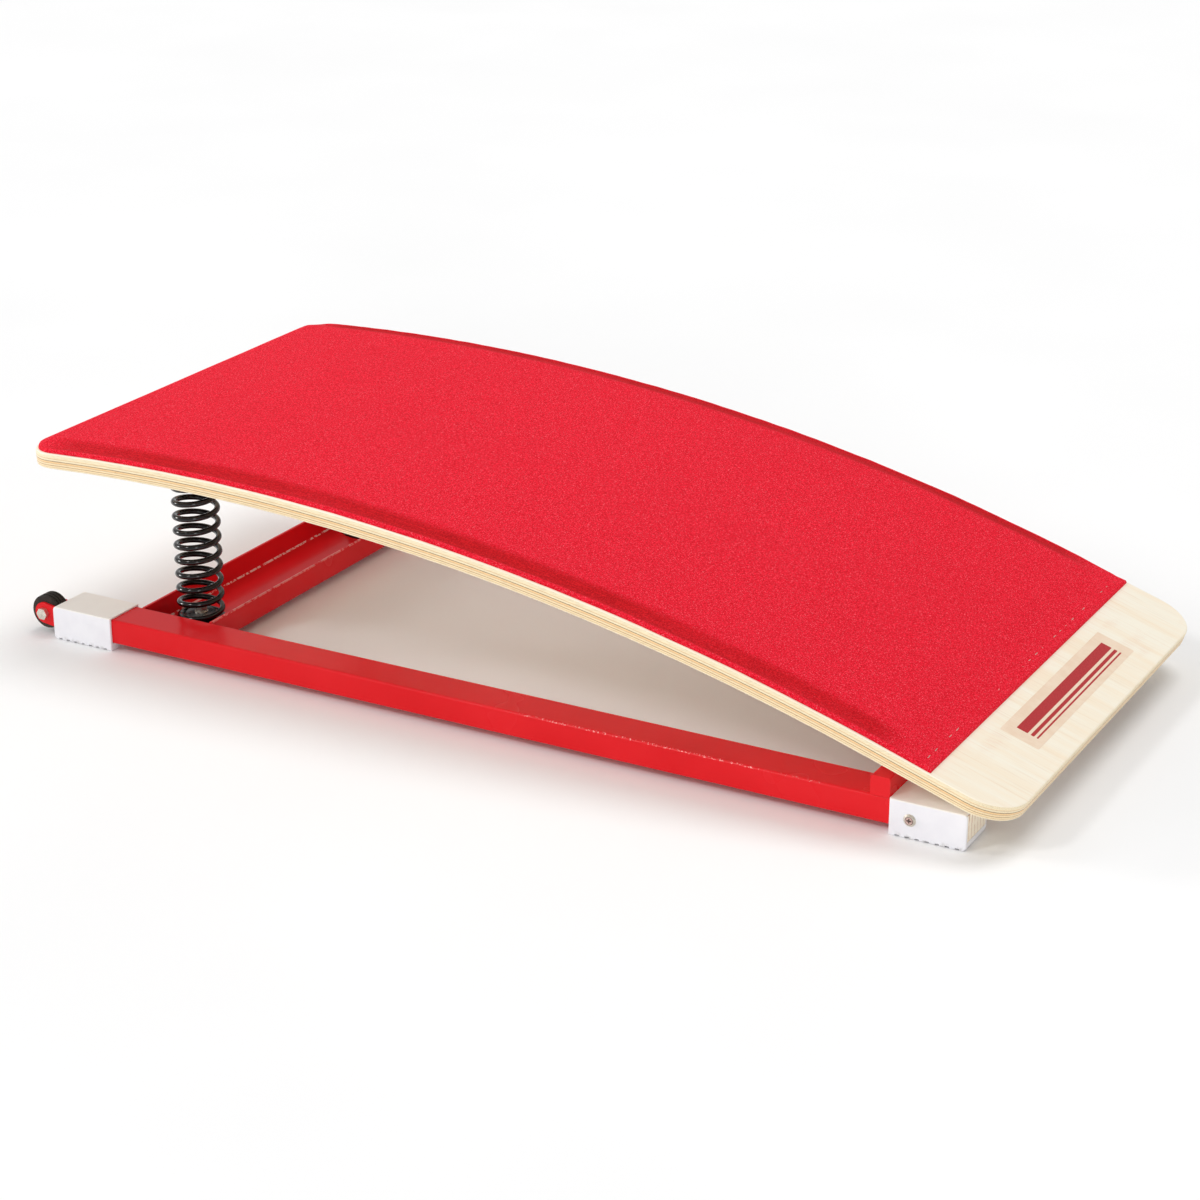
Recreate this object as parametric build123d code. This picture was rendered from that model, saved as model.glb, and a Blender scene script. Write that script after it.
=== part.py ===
from build123d import *
import os
from math import asin, cos, degrees, radians, sin, tan

# A gymnastics springboard: a curved, carpeted plywood deck, hinged low at the front on a welded
# steel base and carried at the back by two coil springs, with two rollers to wheel it away.
# Millimetres. X runs along the board to its low nose, Y across it (left is -Y), Z up from the floor.
# While it is laid out, X counts from the front edge of the carpet. save() moves every piece so that
# the origin is under the middle of the whole board.

# ---- Driving dimensions -------------------------------------------------------------------------

# Deck board
deck_length = 1231.0          # in plan
deck_width = 600.0
board_thickness = 18.0
nose_length = 148.0           # straight stretch in front of the arc
nose_slope = 18.2             # degrees below level
nose_reach = 88.0             # bare wood in front of the carpet, in plan
nose_lift = 38.0              # height of the nose tip's top, less the board's thickness
crest_from_rear = 203.0       # from the high end to the highest point of the arc
nose_corner_radius = 50.0
rear_corner_radius = 42.0
board_edge_radius = 2.0
seating_gap = 0.02            # between the board and the plates under it

# Padding
carpet_width = 592.0
carpet_thickness = 3.0
foam_thickness = 6.0
foam_edge = 1.0               # foam left at its thinned borders
front_taper = 34.0            # stretch in which the padding thins out to bare carpet
front_hem = 26.0              # flat stapled strip of carpet at the front
rear_taper = 16.0
rear_inset = 2.0              # carpet stops this far from the high end
foam_inset = 9.0

# Staples along the front of the carpet
staple_count = 30
staple_crown = 10.0
staple_wire = 1.0
staple_leg = 9.0
staple_inset = 12.0

# Side rails and the two cross members
rail_width = 50.0
rail_height = 30.0
rail_wall = 2.0
rail_corner = 3.0
rail_bottom = 9.0             # above the floor, on the soles of the feet
rail_spread = 510.0           # between the centre lines of the rails
channel_width = 100.0
channel_wall = 3.0
channel_corner = 4.0
spring_from_rear = 158.0      # from the deck's high end to the spring axis and channel centre
bar_size = 22.0
bar_wall = 2.0

# Feet: sleeves pushed over the rail ends
foot_length = 85.0
foot_side = 3.0
foot_top = 2.0
foot_clearance = 0.2
foot_corner = 5.0
foot_edge = 1.2
front_foot_setback = 52.0     # from the nose tip back to the outer end of the front feet
rear_foot_setback = 15.0      # from the high end forward to the outer end of the rear feet
rail_recess = 3.0             # rail ends stop this far inside the feet
groove_count = 7
groove_pitch = 11.0
groove_width = 5.0
groove_depth = 2.0
plug_length = 90.0
plug_clearance = 0.4
shoulder_clearance = 0.2      # round the shoulder that covers the end of the rail
foot_screw_offset = 23.0      # from the inner end of a front foot
foot_screw_height = 21.0
foot_screw_radius = 2.0
foot_screw_length = 26.0
cup_radius = 7.0
cup_height = 2.0

# Springs
spring_spread = 364.0         # between the two spring axes
spring_outer = 57.5
spring_wire = 7.0
spring_pitch = 17.0
upper_seat_radius = 30.0
lower_seat_radius = 36.0
seat_plate = 2.5
boss_height = 12.0
boss_gap = 2.0                # between the boss and the inside of the coil

# Front hinges
hinge_spread = 300.0          # between the two hinges
leaf_length = 56.0
leaf_width = 84.0
leaf_thickness = 4.0
leaf_bolt_x = 20.0
leaf_bolt_y = 31.0
knuckle_radius = 8.0
knuckle_width = 26.0
knuckle_drop = 2.0            # between the leaf and the barrel of the knuckle
lug_thickness = 5.0
lug_radius = 7.5
lug_gap = 0.5
pin_radius = 4.0
running_clearance = 0.05
bush_wall = 1.5
pin_head_radius = 6.5
pin_head = 3.0
clip_thickness = 1.0
clip_groove_radius = 3.3
pin_tail = 3.0                # pin showing past the outer lug

# Rollers
roller_radius = 20.5
roller_side_gap = 0.9         # between the roller and each ear of its fork
roller_drop = 12.0            # axle below the top of the rails
roller_setback = 18.0         # axle behind the outer end of the rear feet
roller_groove_count = 3
roller_groove_pitch = 5.0
roller_groove_depth = 1.0
roller_groove_width = 2.0
fork_width = 26.5             # over both ears
fork_thickness = 3.0
fork_round = 13.0
fork_reach = 46.0             # from the rail end to the web inside the rail
roller_play = 0.3             # between the bush and each ear
fork_clearance = 0.4          # between the fork and the inside of the rail's outer wall
roller_bush_wall = 3.0

# Fasteners: shank radius, across flats, head height, nut height, washer radius, washer thickness
M6 = {"shank": 3.0, "flats": 10.0, "head": 4.0, "nut": 5.0, "washer": 6.0, "sheet": 1.6}
M8 = {"shank": 4.0, "flats": 13.0, "head": 5.3, "nut": 6.5, "washer": 8.0, "sheet": 1.6}
bolt_clearance = 0.05
dome_head_ratio = 2.2         # flush bolt heads in the board, against the shank
dome_head_height = 3.0
bolt_tail = 2.0               # thread showing past a nut

# ---- Layout -------------------------------------------------------------------------------------

nose_x = nose_reach
rear_x = nose_x - deck_length
arc_end_x = nose_x - nose_length
crest_x = rear_x + crest_from_rear
deck_radius = (arc_end_x - crest_x) / sin(radians(nose_slope))
nose_top_height = nose_lift + board_thickness
nose_drop = nose_length * tan(radians(nose_slope))
arc_drop = deck_radius * (1 - cos(radians(nose_slope)))
crest_height = nose_top_height + nose_drop + arc_drop
arc_centre_z = crest_height - deck_radius

rail_top = rail_bottom + rail_height
roller_height = rail_top - roller_drop
rail_y = rail_spread / 2
front_foot_x = nose_x - front_foot_setback
rear_foot_x = rear_x + rear_foot_setback
rail_front_x = front_foot_x - rail_recess
rail_rear_x = rear_foot_x + rail_recess
spring_x = rear_x + spring_from_rear
spring_y = spring_spread / 2
bar_front_x = front_foot_x - foot_length - 1.0
bar_x = bar_front_x - bar_size / 2
bar_top = rail_top + bar_size
hinge_x = bar_x
hinge_y = hinge_spread / 2
roller_x = rear_foot_x - roller_setback

knuckle_depth = leaf_thickness + knuckle_drop + knuckle_radius
bush_radius = pin_radius + running_clearance + bush_wall
boss_radius = spring_outer / 2 - spring_wire - boss_gap
lug_face = knuckle_width / 2 + lug_gap + lug_thickness
roller_y = rail_y + (rail_width - fork_width) / 2 - rail_wall - fork_clearance
roller_bush_radius = M8["shank"] + roller_bush_wall
hem_x = -front_hem * cos(radians(nose_slope))
taper_x = hem_x - front_taper * cos(radians(nose_slope))
leaf_x = hinge_x + (board_thickness + knuckle_depth) * sin(radians(nose_slope))

SIDES = (("left", -1), ("right", 1))


def deck_tilt(x):
    """Downward slope of the deck towards its nose, in degrees."""
    if x >= arc_end_x:
        return nose_slope
    return degrees(asin((x - crest_x) / deck_radius))


def deck_height(x):
    """Height of the board's top surface."""
    if x >= arc_end_x:
        return nose_top_height + (nose_x - x) * tan(radians(nose_slope))
    return arc_centre_z + deck_radius * cos(radians(deck_tilt(x)))


def on_deck(x, y=0.0):
    """A place on the board's top surface: its Z is the surface normal, its X points to the nose."""
    return Pos(x, y, deck_height(x)) * Rot(0, deck_tilt(x), 0)


def under_deck(x, y, half_length):
    """A place under the board, Z down, where a flat plate of that half length bears on the arc."""
    sag = half_length**2 / (2 * (deck_radius - board_thickness))
    return on_deck(x, y) * Pos(0, 0, -board_thickness - sag - seating_gap) * Rot(180, 0, 0)


pivot = (under_deck(leaf_x, 0, leaf_length / 2) * Pos(0, 0, knuckle_depth)).position


def surface_point(x, offset):
    """A point of the deck's side view, that far above the board's top surface."""
    place = (on_deck(x) * Pos(0, 0, offset)).position
    return (place.X, place.Z)


def layer_outline(rear, front, bottom, top):
    """Side view of a layer that follows the deck between two offsets from the board's top."""
    middle = (rear + arc_end_x) / 2
    rim = [
        ThreePointArc(*(surface_point(x, top) for x in (rear, middle, arc_end_x))),
        Line(surface_point(arc_end_x, top), surface_point(front, top)),
        Line(surface_point(front, top), surface_point(front, bottom)),
        Line(surface_point(front, bottom), surface_point(arc_end_x, bottom)),
        ThreePointArc(*(surface_point(x, bottom) for x in (arc_end_x, middle, rear))),
        Line(surface_point(rear, bottom), surface_point(rear, top)),
    ]
    return make_face(Plane.XZ * Curve(rim))


# ---- Fasteners and other repeated shapes --------------------------------------------------------

def rod(radius, length):
    """A round bar that stands on the XY plane."""
    return Pos(0, 0, length / 2) * Cylinder(radius, length)


def ring(outer, inner, length):
    return rod(outer, length) - rod(inner, length)


def hexagon(flats, height):
    return extrude(RegularPolygon(flats / 2, 6, major_radius=False), height)


def hex_bolt(size, length):
    """Hexagon bolt: head under the XY plane, shank up."""
    edge = size["flats"] / 2 * 1.1
    head = Pos(0, 0, -size["head"]) * (hexagon(size["flats"], size["head"]) & rod(edge, size["head"]))
    return head + rod(size["shank"] - bolt_clearance, length)


def dome_bolt(size, length):
    """Flush bolt for the board: low round head under the XY plane, shank up."""
    head = Pos(0, 0, -dome_head_height) * rod(size["shank"] * dome_head_ratio, dome_head_height)
    return head + rod(size["shank"] - bolt_clearance, length)


def nut(size):
    """Hexagon nut that stands on the XY plane."""
    edge = size["flats"] / 2 * 1.1
    body = hexagon(size["flats"], size["nut"]) & rod(edge, size["nut"])
    return body - rod(size["shank"] + bolt_clearance, size["nut"])


def washer(size):
    return ring(size["washer"], size["shank"] + bolt_clearance, size["sheet"])


def bolt_hole(size, length):
    return rod(size["shank"] + bolt_clearance, length)


def box_tube(length, width, height, wall, corner):
    """Square-cut tube along X, centred."""
    bar = Box(length, width, height)
    bar = fillet(bar.edges().filter_by(Axis.X), corner)
    bore = Box(length, width - 2 * wall, height - 2 * wall)
    return bar - fillet(bore.edges().filter_by(Axis.X), corner - wall + 0.2)


def group(pieces):
    return Compound(children=[solid for piece in pieces for solid in piece.solids()])


parts = {}


# ---- Deck ---------------------------------------------------------------------------------------

def leaf_place(side):
    """Underside of the board over a hinge, Z down."""
    return under_deck(leaf_x, side * hinge_y, leaf_length / 2)


def leaf_bolt_spots(side):
    offsets = [(x, y) for x in (-leaf_bolt_x, leaf_bolt_x) for y in (-leaf_bolt_y, leaf_bolt_y)]
    return [leaf_place(side) * Pos(x, y, 0) for x, y in offsets]


def seat_place(side):
    """Underside of the board over a spring, Z down."""
    return under_deck(spring_x, side * spring_y, upper_seat_radius)


def board_bolt_cut(size):
    """Hole for a flush bolt, seen from a place under the board."""
    top = -1.5 * board_thickness
    recess_floor = dome_head_height - board_thickness
    shank_hole = Pos(0, 0, top) * bolt_hole(size, 2 * board_thickness)
    head_radius = size["shank"] * dome_head_ratio + bolt_clearance
    return shank_hole + Pos(0, 0, top) * rod(head_radius, recess_floor - top)


def board_corners(board):
    """The four upright edges of the board's plan corners, high end first."""
    upright = board.edges().filter_by(lambda e: abs(e.length - board_thickness) < 0.01)
    return upright.sort_by(Axis.X)


def board_rim(board):
    """The edges round the top and bottom of the board, without the seams where its arc ends."""
    def is_seam(edge):
        return abs(edge.length - deck_width) < 0.01 and edge.center().X < nose_x - nose_length / 2
    lying = [e for e in board.edges() if abs(e.length - board_thickness) > 0.01]
    return [e for e in lying if not is_seam(e)]


def deck_board():
    outline = layer_outline(rear_x, nose_x, -board_thickness, 0)
    board = extrude(outline, deck_width / 2, both=True)
    board = fillet(board_corners(board)[:2], rear_corner_radius)
    board = fillet(board_corners(board)[-2:], nose_corner_radius)
    board = fillet(board_rim(board), board_edge_radius)
    for _, side in SIDES:
        board -= seat_place(side) * board_bolt_cut(M8)
        for spot in leaf_bolt_spots(side):
            board -= spot * board_bolt_cut(M6)
    return board


def padding_layer(width, edge, height, rear, front):
    """A layer on the board's top, thinned at both ends, with rounded corners at the high end."""
    crown_x = rear + rear_taper
    thinning = [(arc_end_x, height), (taper_x, height), (hem_x, edge)]
    thinning += [(front, edge)] if front > hem_x else []
    front_rim = [surface_point(x, offset) for x, offset in thinning + [(front, 0), (arc_end_x, 0)]]
    rear_rim = [surface_point(x, offset) for x, offset in ((rear, 0), (rear, edge), (crown_x, height))]
    top_stations = (crown_x, (crown_x + arc_end_x) / 2, arc_end_x)
    floor_stations = (arc_end_x, (rear + arc_end_x) / 2, rear)
    rim = Curve([
        ThreePointArc(*(surface_point(x, height) for x in top_stations)),
        Polyline(front_rim),
        ThreePointArc(*(surface_point(x, 0) for x in floor_stations)),
        Polyline(rear_rim),
    ])
    layer = extrude(make_face(Plane.XZ * rim), width / 2, both=True)

    length = front - rear + 20
    plan = Pos(rear + length / 2, 0, crest_height) * Box(length, width, crest_height * 2)
    corners = plan.edges().filter_by(Axis.Z).sort_by(Axis.X)[:2]
    return layer & fillet(corners, rear_corner_radius - (rear - rear_x))


def foam_pad():
    width = carpet_width - 2 * carpet_thickness
    return padding_layer(width, foam_edge, foam_thickness, rear_x + foam_inset, hem_x)


def carpet_cover():
    edge = carpet_thickness + foam_edge
    height = carpet_thickness + foam_thickness
    return padding_layer(carpet_width, edge, height, rear_x + rear_inset, 0) - parts["foam_pad"]


def staple():
    """One staple on the XY plane: its crown on top along Y, its legs down."""
    leg_y = (staple_crown - staple_wire) / 2
    legs = [Pos(0, y, -staple_leg / 2) * Box(staple_wire, staple_wire, staple_leg) for y in (-leg_y, leg_y)]
    return Pos(0, 0, staple_wire / 2) * Box(staple_wire, staple_crown, staple_wire) + legs


def carpet_staples():
    pitch = (carpet_width - 2 * staple_inset) / staple_count
    first = -pitch * (staple_count - 1) / 2
    top = carpet_thickness + foam_edge
    places = [on_deck(-staple_inset, first + i * pitch) * Pos(0, 0, top) for i in range(staple_count)]
    return group(place * staple() for place in places)


def spring_seat(radius):
    """Steel plate on the XY plane with a boss that centres the coil, bored for its bolt."""
    boss = Pos(0, 0, seat_plate) * rod(boss_radius, boss_height)
    rounded = chamfer((rod(radius, seat_plate) + boss).edges().sort_by(Axis.Z)[-1], 1.5)
    return rounded - bolt_hole(M8, seat_plate + boss_height)


def spring_top_bolt():
    grip = board_thickness - dome_head_height + seat_plate + boss_height + M8["sheet"] + M8["nut"]
    return Pos(0, 0, dome_head_height - board_thickness) * dome_bolt(M8, grip + bolt_tail)


def hinge_leaf():
    """Plate on the XY plane, with the knuckle that turns on the pin standing on it."""
    plate = Box(leaf_length, leaf_width, leaf_thickness, align=(Align.CENTER, Align.CENTER, Align.MIN))
    plate = fillet(plate.edges().filter_by(Axis.Z), 6)
    neck_height = knuckle_depth - leaf_thickness
    neck = Pos(0, 0, leaf_thickness + neck_height / 2) * Box(2 * knuckle_radius, knuckle_width, neck_height)
    barrel = Pos(0, 0, knuckle_depth) * Rot(90, 0, 0) * Cylinder(knuckle_radius, knuckle_width)
    leaf = plate + neck + barrel
    leaf -= Pos(0, 0, knuckle_depth) * Rot(90, 0, 0) * Cylinder(bush_radius, knuckle_width)
    for x in (-leaf_bolt_x, leaf_bolt_x):
        for y in (-leaf_bolt_y, leaf_bolt_y):
            leaf -= Pos(x, y, 0) * bolt_hole(M6, leaf_thickness)
    return leaf


def hinge_bush():
    tube = ring(bush_radius, pin_radius + running_clearance, knuckle_width)
    return Rot(90, 0, 0) * Pos(0, 0, -knuckle_width / 2) * tube


def leaf_bolt():
    grip = board_thickness - dome_head_height + leaf_thickness + M6["sheet"] + M6["nut"]
    return Pos(0, 0, dome_head_height - board_thickness) * dome_bolt(M6, grip + bolt_tail)


parts["deck_board"] = deck_board()
parts["foam_pad"] = foam_pad()
parts["carpet_cover"] = carpet_cover()
parts["carpet_staples"] = carpet_staples()
for word, side in SIDES:
    parts[f"upper_spring_seat_{word}"] = seat_place(side) * spring_seat(upper_seat_radius)
    parts[f"hinge_leaf_{word}"] = leaf_place(side) * hinge_leaf()
    parts[f"hinge_bush_{word}"] = leaf_place(side) * Pos(0, 0, knuckle_depth) * hinge_bush()

under_seats = [seat_place(side) for _, side in SIDES]
under_boss = Pos(0, 0, seat_plate + boss_height)
parts["spring_top_bolts"] = group(place * spring_top_bolt() for place in under_seats)
parts["spring_top_washers"] = group(place * under_boss * washer(M8) for place in under_seats)
past_top_washer = under_boss * Pos(0, 0, M8["sheet"])
parts["spring_top_nuts"] = group(place * past_top_washer * nut(M8) for place in under_seats)

under_leaves = [spot for _, side in SIDES for spot in leaf_bolt_spots(side)]
leaf_face = Pos(0, 0, leaf_thickness)
parts["hinge_leaf_bolts"] = group(place * leaf_bolt() for place in under_leaves)
parts["hinge_leaf_washers"] = group(place * leaf_face * washer(M6) for place in under_leaves)
past_leaf_washer = leaf_face * Pos(0, 0, M6["sheet"])
parts["hinge_leaf_nuts"] = group(place * past_leaf_washer * nut(M6) for place in under_leaves)


# ---- Base frame ---------------------------------------------------------------------------------

def side_rail(side):
    length = rail_front_x - rail_rear_x
    centre = Pos((rail_front_x + rail_rear_x) / 2, side * rail_y, rail_bottom + rail_height / 2)
    rail = centre * box_tube(length, rail_width, rail_height, rail_wall, rail_corner)
    return rail - foot_screw_place(side) * rod(foot_screw_radius + 0.2, foot_side + rail_wall + 1)


def rear_channel():
    """Open-topped channel between the rails, holed for the spring bolts."""
    half = channel_width / 2
    span = rail_spread - rail_width
    base = (Align.CENTER, Align.CENTER, Align.MIN)
    bar = Box(channel_width, span, rail_height, align=base)
    bar = fillet(bar.edges().filter_by(Axis.Y).group_by(Axis.Z)[0], channel_corner)
    inner = Box(channel_width - 2 * channel_wall, span, rail_height, align=base)
    inner = fillet(inner.edges().filter_by(Axis.Y).group_by(Axis.Z)[0], channel_corner / 2)
    bar -= Pos(0, 0, channel_wall) * inner
    for _, side in SIDES:
        bar -= Pos(0, side * spring_y, 0) * bolt_hole(M8, channel_wall)
    return Pos(spring_x, 0, rail_bottom) * bar


def front_cross_bar():
    length = rail_spread + rail_width - 2 * bar_wall
    bar = Rot(0, 0, 90) * box_tube(length, bar_size, bar_size, bar_wall, 2.5)
    return Pos(bar_x, 0, rail_top + bar_size / 2) * bar


def bar_end_plate(side):
    plate = Box(bar_size, bar_wall, bar_size)
    plate = fillet(plate.edges().filter_by(Axis.Y), 2.5)
    y = side * (rail_y + (rail_width - bar_wall) / 2)
    return Pos(bar_x, y, rail_top + bar_size / 2) * plate


def foot_sleeve(outer_x, inner_x, side):
    """Sleeve over a rail end, with a ribbed sole. Its outer end has rounded corners."""
    middle_x = (outer_x + inner_x) / 2
    width = rail_width + 2 * foot_side
    height = rail_top + foot_top
    base = (Align.CENTER, Align.CENTER, Align.MIN)
    shell = Box(foot_length, width, height, align=base)
    across = shell.edges().filter_by(Axis.Y).sort_by(Axis.X)
    outer_edges = across[-2:] if outer_x > inner_x else across[:2]
    shell = fillet(outer_edges, foot_corner)
    shell = fillet(shell.edges().filter_by(Axis.X) + shell.edges().filter_by(Axis.Z), foot_edge)
    cavity_width = rail_width + 2 * foot_clearance
    shell -= Pos(0, 0, rail_bottom) * Box(foot_length, cavity_width, rail_height + foot_clearance, align=base)
    first = -groove_pitch * (groove_count - 1) / 2
    for i in range(groove_count):
        shell -= Pos(first + i * groove_pitch, 0, 0) * Box(groove_width, width, 2 * groove_depth)
    return Pos(middle_x, side * rail_y, 0) * shell


def foot_screw_place(side):
    """On the outer face of a front foot, Z into the rail."""
    x = front_foot_x - foot_length + foot_screw_offset
    y = side * (rail_y + rail_width / 2 + foot_side)
    return Pos(x, y, foot_screw_height) * Rot(90 * side, 0, 0)


def front_foot(side):
    sleeve = foot_sleeve(front_foot_x, front_foot_x - foot_length, side)
    return sleeve - foot_screw_place(side) * rod(foot_screw_radius + 0.2, foot_side + 1)


def wood_plug(side):
    """Wooden block in the front end of a rail, for the foot's screw, with a shoulder over the rail's end."""
    margin = 2 * (rail_wall + plug_clearance)
    block = Pos(-plug_length / 2, 0, 0) * Box(plug_length, rail_width - margin, rail_height - margin)
    thickness = rail_recess - shoulder_clearance
    slack = 2 * shoulder_clearance
    shoulder = Pos(thickness / 2, 0, 0) * Box(thickness, rail_width - slack, rail_height - slack)
    centre = Pos(rail_front_x, side * rail_y, rail_bottom + rail_height / 2)
    return centre * (block + shoulder) - foot_screw_place(side) * rod(foot_screw_radius, foot_screw_length)


def foot_screw():
    """Countersunk screw with a cross recess. Its head stands out of the XY plane, its shank goes up."""
    head = Pos(0, 0, -cup_height / 2) * Cone(cup_radius * 0.64, foot_screw_radius, cup_height)
    recess = Box(1.1, 5.4, 1.6) + Box(5.4, 1.1, 1.6)
    return head + rod(foot_screw_radius, foot_screw_length) - Pos(0, 0, -cup_height) * recess


def cup_washer():
    body = Pos(0, 0, -cup_height / 2) * Cone(cup_radius * 0.75, cup_radius, cup_height)
    seat = Cone(cup_radius * 0.64 + 0.1, foot_screw_radius + 0.1, cup_height)
    return body - Pos(0, 0, -cup_height / 2) * seat


def coil_spring(length):
    """Ground-ended coil spring that stands on the XY plane."""
    radius = (spring_outer - spring_wire) / 2
    path = Pos(0, 0, -spring_wire) * Helix(spring_pitch, length + 2 * spring_wire, radius)
    wire = sweep(Plane(path @ 0, z_dir=path % 0) * Circle(spring_wire / 2), path, is_frenet=True)
    return wire & Pos(0, 0, length / 2) * Box(2 * spring_outer, 2 * spring_outer, length)


def spring_base_bolt():
    grip = channel_wall + seat_plate + boss_height + M8["sheet"] + M8["nut"]
    return hex_bolt(M8, grip + bolt_tail)


def hinge_lug_pair(side):
    """Two plates welded to the cross bar, either side of a knuckle, bored for the pin."""
    rise = pivot.Z - bar_top
    lean = pivot.X - bar_x
    foot = bar_size / 2 - 1
    rim = Polyline((-foot, 0), (foot, 0), (lean + lug_radius, rise), (lean - lug_radius, rise), close=True)
    eye = Pos(lean, rise) * Circle(lug_radius)
    hole = Pos(lean, rise) * Circle(pin_radius + running_clearance)
    plate = extrude(Plane.XZ * (make_face(rim) + eye - hole), lug_thickness / 2, both=True)
    offset = knuckle_width / 2 + lug_gap + lug_thickness / 2
    return group(Pos(bar_x, side * hinge_y + y, bar_top) * plate for y in (-offset, offset))


def hinge_pin():
    """Headed pin along Z, centred on its hinge, with a groove for its clip."""
    groove = Pos(0, 0, lug_face) * ring(pin_radius + 1, clip_groove_radius, clip_thickness + 0.2)
    shank = Pos(0, 0, -lug_face) * rod(pin_radius, 2 * lug_face + pin_tail)
    return Pos(0, 0, -lug_face - pin_head) * rod(pin_head_radius, pin_head) + shank - groove


def hinge_clip():
    """Snap ring in the pin's groove, open on one side."""
    clip = ring(pin_head_radius, clip_groove_radius + running_clearance, clip_thickness)
    opening = Pos(pin_head_radius, 0, 0) * Box(2 * pin_head_radius, pin_radius, 4 * clip_thickness)
    return Pos(0, 0, lug_face + 0.1) * (clip - opening)


def roller_fork(side):
    """U-shaped strap: its web inside the rail, its two rounded ears either side of the roller."""
    low = rail_bottom + rail_wall + fork_clearance
    high = rail_top - rail_wall - fork_clearance
    web_x = rail_rear_x + fork_reach
    outline = [(web_x, low), (rail_rear_x, low), (roller_x, roller_height - fork_round)]
    outline += [(roller_x, roller_height + fork_round), (rail_rear_x, high), (web_x, high)]
    eye = Pos(roller_x, roller_height) * Circle(fork_round)
    hole = Pos(roller_x, roller_height) * Circle(M8["shank"] + bolt_clearance)
    side_view = make_face(Polyline(outline, close=True)) + eye - hole
    ear = extrude(Plane.XZ * side_view, fork_thickness / 2, both=True)
    offset = (fork_width - fork_thickness) / 2
    web = Box(fork_thickness, fork_width, high - low)
    strap = Pos(web_x - fork_thickness / 2, 0, (low + high) / 2) * web
    strap += [Pos(0, y, 0) * ear for y in (-offset, offset)]
    return Pos(0, side * roller_y, 0) * strap


def axle_place(side):
    """On the outer face of a fork's outer ear, Z along the axle towards the middle of the board."""
    return Pos(roller_x, side * (roller_y + fork_width / 2), roller_height) * Rot(90 * side, 0, 0)


for word, side in SIDES:
    base = Pos(spring_x, side * spring_y, rail_bottom + channel_wall)
    underside = (seat_place(side) * Pos(0, 0, seat_plate)).position.Z
    tilt_drop = spring_outer / 2 * sin(radians(abs(deck_tilt(spring_x))))
    on_seat = rail_bottom + channel_wall + seat_plate
    across_hinge = Pos(pivot.X, side * hinge_y, pivot.Z) * Rot(90 * side, 0, 0)
    parts[f"side_rail_{word}"] = side_rail(side)
    parts[f"foot_sleeve_front_{word}"] = front_foot(side)
    parts[f"foot_sleeve_rear_{word}"] = foot_sleeve(rear_foot_x, rear_foot_x + foot_length, side)
    parts[f"wood_plug_{word}"] = wood_plug(side)
    parts[f"lower_spring_seat_{word}"] = base * spring_seat(lower_seat_radius)
    parts[f"spring_{word}"] = base * Pos(0, 0, seat_plate) * coil_spring(underside - tilt_drop - on_seat)
    parts[f"hinge_lugs_{word}"] = hinge_lug_pair(side)
    parts[f"hinge_pin_{word}"] = across_hinge * hinge_pin()
    parts[f"hinge_clip_{word}"] = across_hinge * hinge_clip()
    parts[f"roller_fork_{word}"] = roller_fork(side)

parts["rear_channel"] = rear_channel()
parts["front_cross_bar"] = front_cross_bar()
parts["cross_bar_end_plates"] = group(bar_end_plate(side) for _, side in SIDES)
parts["foot_screws"] = group(foot_screw_place(side) * foot_screw() for _, side in SIDES)
parts["cup_washers"] = group(foot_screw_place(side) * cup_washer() for _, side in SIDES)

under_web = [Pos(spring_x, side * spring_y, rail_bottom) for _, side in SIDES]
on_boss = Pos(0, 0, channel_wall + seat_plate + boss_height)
parts["spring_base_bolts"] = group(place * spring_base_bolt() for place in under_web)
parts["spring_base_washers"] = group(place * on_boss * washer(M8) for place in under_web)
parts["spring_base_nuts"] = group(place * on_boss * Pos(0, 0, M8["sheet"]) * nut(M8) for place in under_web)

axles = [axle_place(side) for _, side in SIDES]
past_fork = Pos(0, 0, fork_width)
roller_bolt_length = fork_width + M8["sheet"] + M8["nut"] + bolt_tail
parts["roller_bolts"] = group(place * hex_bolt(M8, roller_bolt_length) for place in axles)
parts["roller_washers"] = group(place * past_fork * washer(M8) for place in axles)
parts["roller_nuts"] = group(place * past_fork * Pos(0, 0, M8["sheet"]) * nut(M8) for place in axles)


# ---- Rollers ------------------------------------------------------------------------------------

def roller():
    """Rubber roller along Z, centred, with shallow grooves round it."""
    width = fork_width - 2 * (fork_thickness + roller_side_gap)
    drum = Cylinder(roller_radius, width)
    drum = fillet(drum.edges().filter_by(GeomType.CIRCLE), 1.5)
    first = -roller_groove_pitch * (roller_groove_count - 1) / 2
    for i in range(roller_groove_count):
        groove = ring(roller_radius + 1, roller_radius - roller_groove_depth, roller_groove_width)
        drum -= Pos(0, 0, first + i * roller_groove_pitch - roller_groove_width / 2) * groove
    return drum - Cylinder(roller_bush_radius, width)


def roller_bush():
    length = fork_width - 2 * (fork_thickness + roller_play)
    return Pos(0, 0, -length / 2) * ring(roller_bush_radius, M8["shank"], length)


for word, side in SIDES:
    on_axle = Pos(roller_x, side * roller_y, roller_height) * Rot(90, 0, 0)
    parts[f"roller_{word}"] = on_axle * roller()
    parts[f"roller_bush_{word}"] = on_axle * roller_bush()


# ---- Save ---------------------------------------------------------------------------------------

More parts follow.
